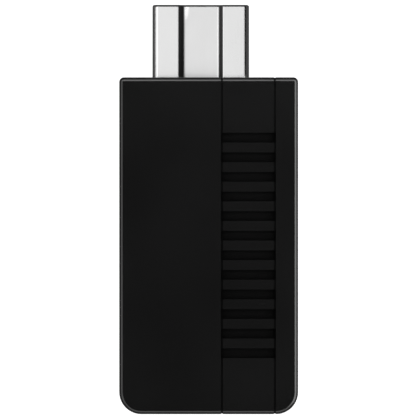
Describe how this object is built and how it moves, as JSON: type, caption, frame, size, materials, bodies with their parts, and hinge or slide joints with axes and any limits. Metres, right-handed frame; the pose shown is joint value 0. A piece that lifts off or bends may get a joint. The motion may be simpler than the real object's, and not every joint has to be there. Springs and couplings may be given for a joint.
{
  "type": "wireless streaming receiver dongle",
  "caption": "Plug-in wireless receiver with a two-part case, a ribbed roof strip, a keyed metal plug, a side button, a status light and a service port.",
  "frame": {"origin": "centre of the case's flat underside", "axes": "+Y out of the keyed plug, +Z out of the ribbed roof, +X to the right when the plug points away"},
  "size_m": [0.023, 0.0529, 0.0132],
  "materials": {
    "case_plastic": "fine spark texture",
    "label_film": "smooth film",
    "plug_steel": "satin nickel plate",
    "port_steel": "tin plate",
    "plug_core_plastic": "moulded, glass filled",
    "contact_plate": "gold flash",
    "board_laminate": "solder mask over glass epoxy",
    "screw_steel": "black zinc",
    "chip_resin": "moulded resin",
    "tinned_lead": "tin plate",
    "can_steel": "nickel plate",
    "ferrite": "sintered",
    "antenna_ceramic": "glazed",
    "capacitor_ceramic": "sintered",
    "resistor_ceramic": "glazed",
    "tank_resin": "moulded resin",
    "switch_resin": "moulded resin",
    "switch_plunger_resin": "moulded resin",
    "spring_steel": "bright",
    "button_plastic": "fine spark texture",
    "led_resin": "clear over white",
    "guide_plastic": "polished, translucent"
  },
  "bodies": {
    "case": {"top_case": "case_plastic", "bottom_case": "case_plastic", "base_label": "label_film", "plug_shell": "plug_steel", "plug_insulator": "plug_core_plastic", "plug_contacts_upper": "contact_plate", "plug_contacts_lower": "contact_plate", "circuit_board": "board_laminate", "board_screws": "screw_steel", "main_processor": "chip_resin", "memory_chip": "chip_resin", "flash_chip": "chip_resin", "flash_leads": "tinned_lead", "voltage_regulator": "chip_resin", "regulator_leads": "tinned_lead", "crystal": "can_steel", "power_inductor": "ferrite", "chip_antenna": "antenna_ceramic", "tank_capacitor": "tank_resin", "chip_capacitors": "capacitor_ceramic", "chip_resistors": "resistor_ceramic", "chip_ends": "tinned_lead", "shield_frame": "can_steel", "shield_lid": "can_steel", "port_shell": "port_steel", "port_tongue": "plug_core_plastic", "port_contacts": "contact_plate", "switch_housing": "switch_resin", "switch_cover": "can_steel", "switch_dome": "spring_steel", "status_led": "led_resin", "light_guide": "guide_plastic"},
    "button": {"pairing_button": "button_plastic", "switch_plunger": "switch_plunger_resin"}
  },
  "joints": [
    {"name": "button_press", "type": "slide", "parent": "case", "child": "button", "axis": [0, 1, 0], "range_m": [0, 0.0003], "deforming": ["switch_dome"]}
  ]
}
